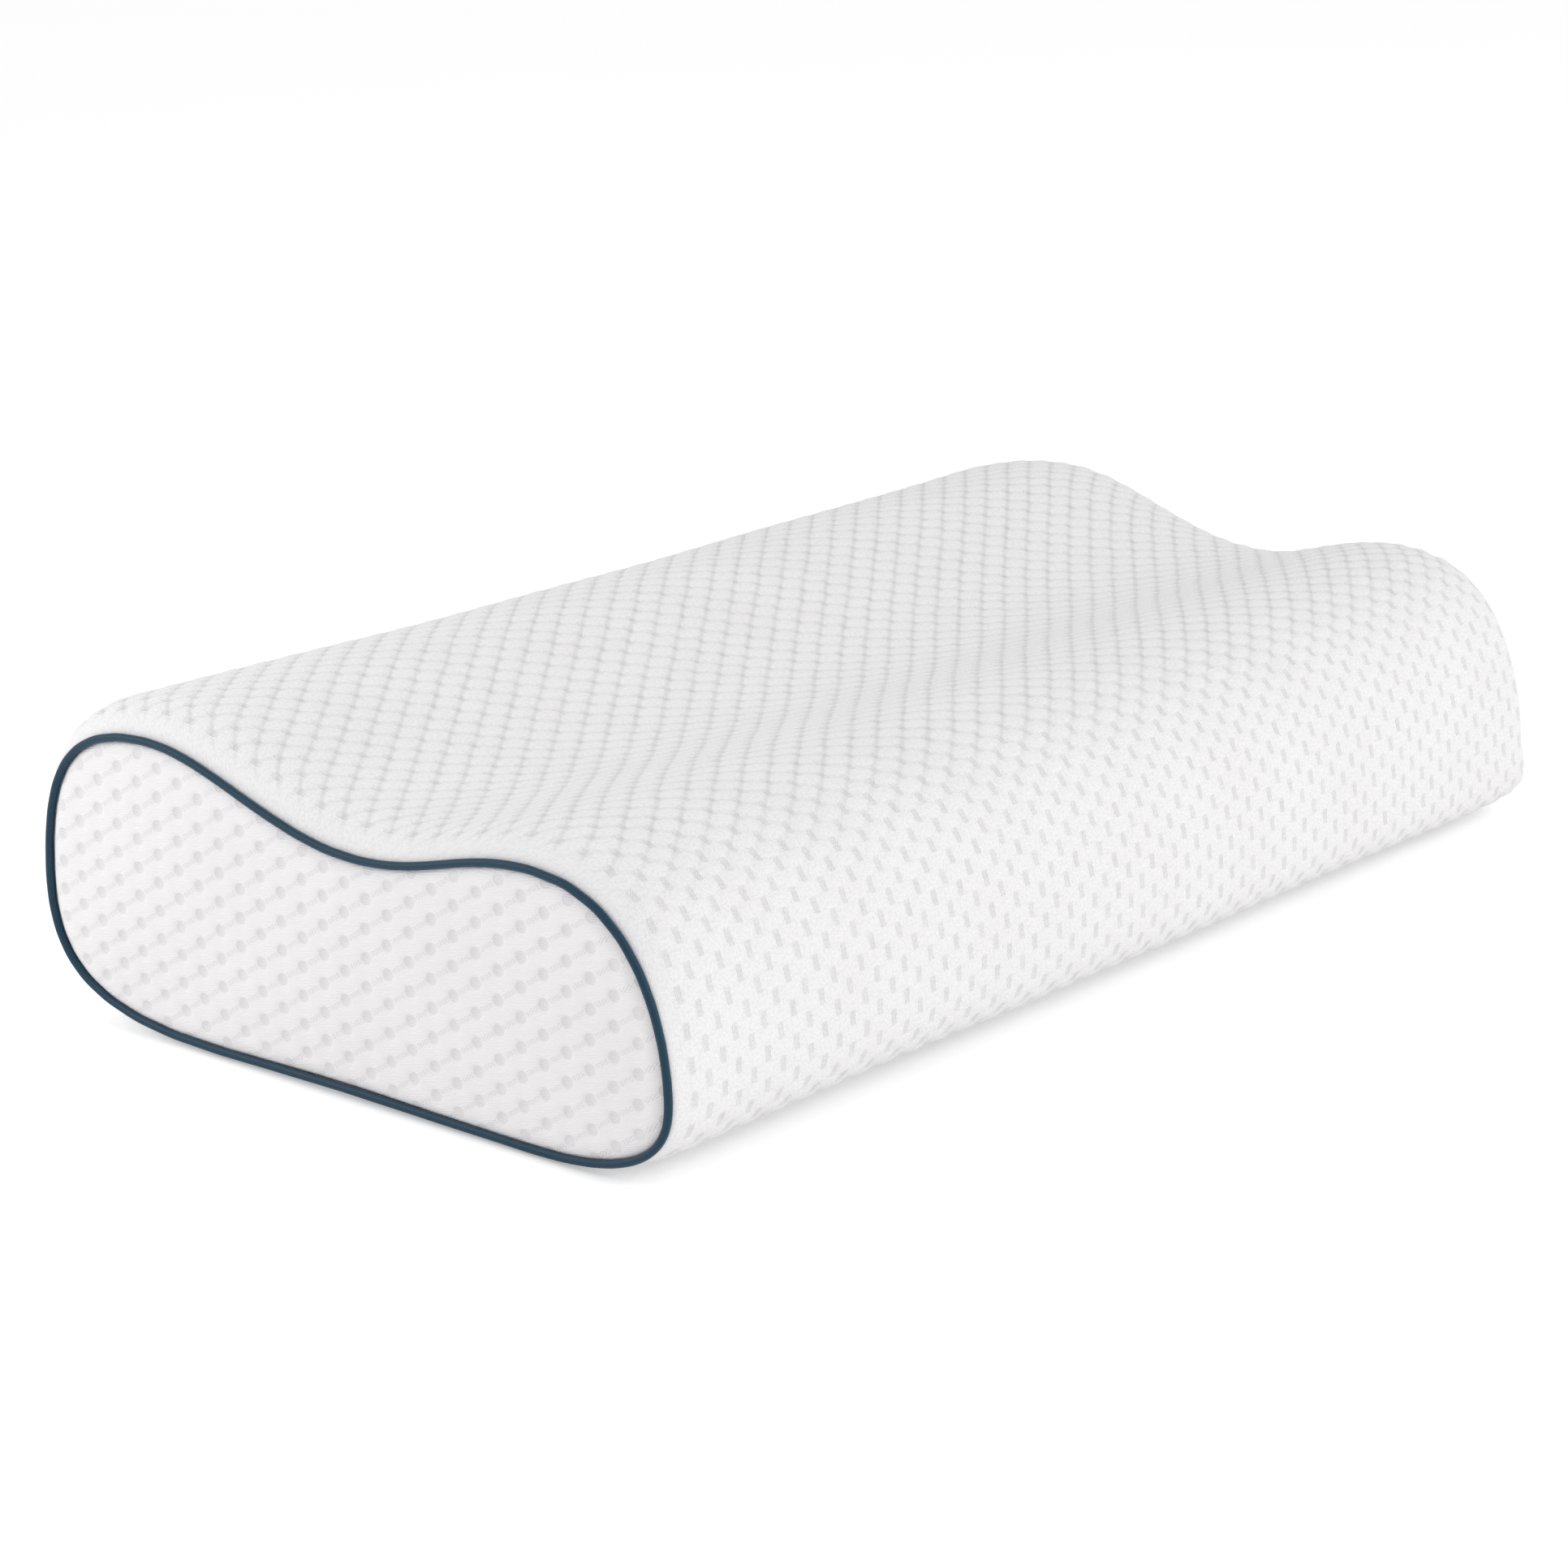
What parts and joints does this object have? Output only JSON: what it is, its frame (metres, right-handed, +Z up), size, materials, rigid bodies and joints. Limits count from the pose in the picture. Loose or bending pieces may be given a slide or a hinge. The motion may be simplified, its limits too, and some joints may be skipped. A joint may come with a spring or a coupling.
{
  "type": "contour bed pillow",
  "caption": "Contour pillow with a high and a low lobe and a neck hollow: foam core and liner inside a white quilted knit zip-off cover with dark piped end panels.",
  "frame": {"origin": "on the surface that the pillow lies on, under the middle of its outline", "axes": "+X along the pillow, +Y towards the high lobe, +Z up"},
  "size_m": [0.6, 0.33, 0.126],
  "materials": {
    "jacquard_knit": "quilted jacquard knit",
    "mesh_knit": "open mesh knit with eyelets",
    "piping_satin": "dark teal satin twill",
    "filler_cord": "twisted cotton",
    "memory_foam": "open-cell foam",
    "liner_cloth": "thin plain knit",
    "zip_tape": "woven herringbone tape",
    "zip_coil": "smooth nylon",
    "zip_metal": "nickel plate",
    "label_satin": "blank white satin"
  },
  "bodies": {
    "pillow": {"foam_core": "memory_foam", "liner_sleeve": "liner_cloth", "liner_end_left": "liner_cloth", "liner_end_right": "liner_cloth", "cover_wrap": "jacquard_knit", "end_panel_left": "mesh_knit", "end_panel_right": "mesh_knit", "piping_left": "piping_satin", "piping_right": "piping_satin", "piping_cord_left": "filler_cord", "piping_cord_right": "filler_cord", "zip_tape_upper": "zip_tape", "zip_tape_lower": "zip_tape", "zip_coil_upper": "zip_coil", "zip_coil_lower": "zip_coil", "zip_top_stop_upper": "zip_metal", "zip_top_stop_lower": "zip_metal", "zip_bottom_stop": "zip_metal", "care_label": "label_satin"},
    "zip_slider": {"zip_slider": "zip_metal"},
    "zip_pull": {"zip_pull": "zip_metal"}
  },
  "joints": [
    {"name": "zip_slide", "type": "slide", "parent": "pillow", "child": "zip_slider", "axis": [-1, 0, 0], "range_m": [0, 0.484]},
    {"name": "pull_swing", "type": "hinge", "parent": "zip_slider", "child": "zip_pull", "pos_m": [0.2422, 0.16281, 0.03425], "axis": [0, -0.337, -0.9415], "range_deg": [0, 175]}
  ]
}
